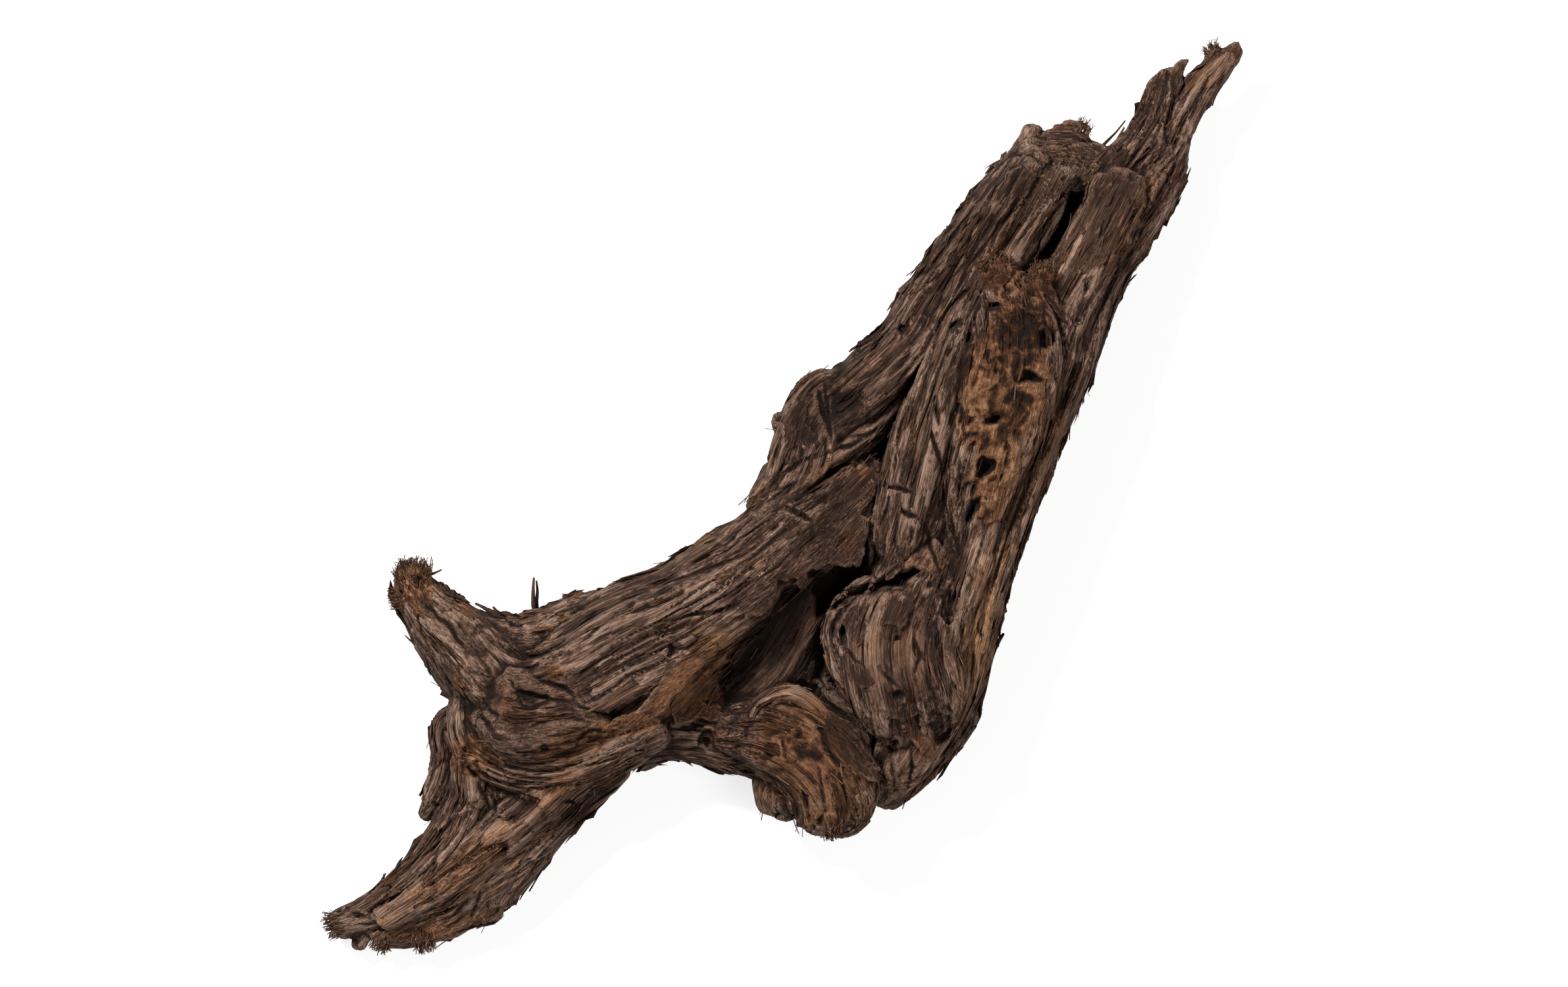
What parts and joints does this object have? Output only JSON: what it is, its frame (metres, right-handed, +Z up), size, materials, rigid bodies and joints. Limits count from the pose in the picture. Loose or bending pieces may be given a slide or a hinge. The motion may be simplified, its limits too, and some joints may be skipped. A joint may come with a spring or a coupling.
{
  "type": "piece of driftwood",
  "caption": "Weathered dark brown driftwood with a forked crown, hollow trunk, burl, horned elbow, splayed foot and rounded knuckles, lying on its flattest side.",
  "frame": {"origin": "centre of the outline seen from above, at the level of the surface the wood lies on", "axes": "+Z up, +X towards the crown side, +Y towards the crown; the trunk runs diagonally between +X and +Y"},
  "size_m": [0.387, 0.3864, 0.0914],
  "materials": {
    "weathered_wood": "dry weathered grain, grey on the ridges and orange brown in the folds"
  },
  "bodies": {
    "root": {"driftwood": "weathered_wood"}
  },
  "joints": []
}
